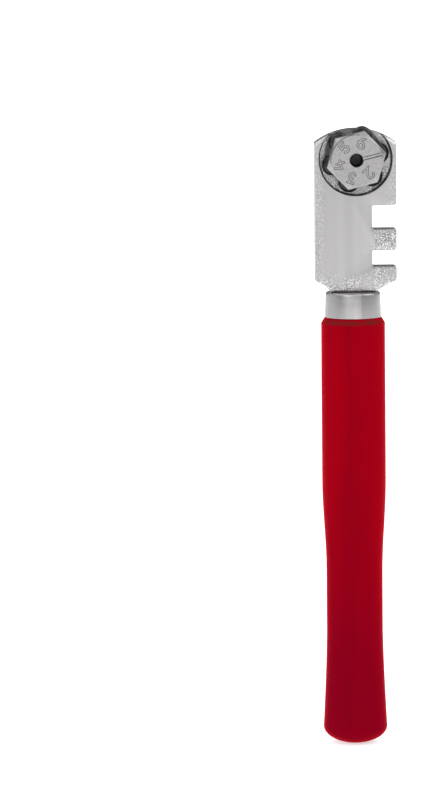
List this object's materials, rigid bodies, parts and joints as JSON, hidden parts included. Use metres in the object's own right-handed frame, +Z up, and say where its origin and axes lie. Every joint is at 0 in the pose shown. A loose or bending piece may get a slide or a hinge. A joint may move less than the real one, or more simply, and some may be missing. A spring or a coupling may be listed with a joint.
{
  "type": "glass cutter",
  "caption": "Hand glass cutter: plated cast head with a clamped hexagonal turret of scoring wheels and two breaking notches, on a turned lacquered wooden handle.",
  "frame": {"origin": "lowest point of the handle's rounded butt, on the handle's axis", "axes": "+Z up the handle to the cutting wheels, -Y out of the turret's face, +X out of the breaking notches"},
  "size_m": [0.0172, 0.0134, 0.13],
  "materials": {
    "plated_casting": "satin nickel plate over a rough casting",
    "ferrule_nickel": "polished nickel plate on drawn sheet",
    "red_lacquered_wood": "satin deep red lacquer over turned wood",
    "turret_steel": "satin plated steel with stamped numbers",
    "wheel_steel": "hardened dark tool steel, ground edge",
    "pin_steel": "bright drawn steel",
    "screw_steel": "blackened steel",
    "washer_steel": "plain spring steel"
  },
  "bodies": {
    "head_and_handle": {"head_casting": "plated_casting", "ferrule": "ferrule_nickel", "handle": "red_lacquered_wood"},
    "turret": {"turret_body": "turret_steel", "axle_pin_1": "pin_steel", "axle_pin_2": "pin_steel", "axle_pin_3": "pin_steel", "axle_pin_4": "pin_steel", "axle_pin_5": "pin_steel", "axle_pin_6": "pin_steel"},
    "wheel_1": {"cutting_wheel_1": "wheel_steel"},
    "wheel_2": {"cutting_wheel_2": "wheel_steel"},
    "wheel_3": {"cutting_wheel_3": "wheel_steel"},
    "wheel_4": {"cutting_wheel_4": "wheel_steel"},
    "wheel_5": {"cutting_wheel_5": "wheel_steel"},
    "wheel_6": {"cutting_wheel_6": "wheel_steel"},
    "washer": {"spring_washer": "washer_steel"},
    "screw": {"clamp_screw": "screw_steel"}
  },
  "joints": [
    {"name": "turret_turn", "type": "hinge", "parent": "head_and_handle", "child": "turret", "pos_m": [0.0006, 0, 0.1231], "axis": [0, 1, 0], "continuous": true},
    {"name": "wheel_1_spin", "type": "hinge", "parent": "turret", "child": "wheel_1", "pos_m": [0.00535, 0, 0.12429], "axis": [0, 1, 0], "continuous": true},
    {"name": "wheel_2_spin", "type": "hinge", "parent": "turret", "child": "wheel_2", "pos_m": [0.004, 0, 0.11958], "axis": [0, 1, 0], "continuous": true},
    {"name": "wheel_3_spin", "type": "hinge", "parent": "turret", "child": "wheel_3", "pos_m": [-0.00075, 0, 0.11839], "axis": [0, 1, 0], "continuous": true},
    {"name": "wheel_4_spin", "type": "hinge", "parent": "turret", "child": "wheel_4", "pos_m": [-0.00415, 0, 0.12191], "axis": [0, 1, 0], "continuous": true},
    {"name": "wheel_5_spin", "type": "hinge", "parent": "turret", "child": "wheel_5", "pos_m": [-0.0028, 0, 0.12662], "axis": [0, 1, 0], "continuous": true},
    {"name": "wheel_6_spin", "type": "hinge", "parent": "turret", "child": "wheel_6", "pos_m": [0.00195, 0, 0.12781], "axis": [0, 1, 0], "continuous": true},
    {"name": "clamp_release", "type": "slide", "parent": "head_and_handle", "child": "washer", "axis": [0, 1, 0], "range_m": [0, 0.001]},
    {"name": "screw_turn", "type": "hinge", "parent": "washer", "child": "screw", "pos_m": [0.0006, 0, 0.1231], "axis": [0, 1, 0], "range_deg": [0, 720]}
  ],
  "couplings": [
    {"joint": "screw_turn", "follows": "clamp_release", "rad_per_m": 12566}
  ]
}
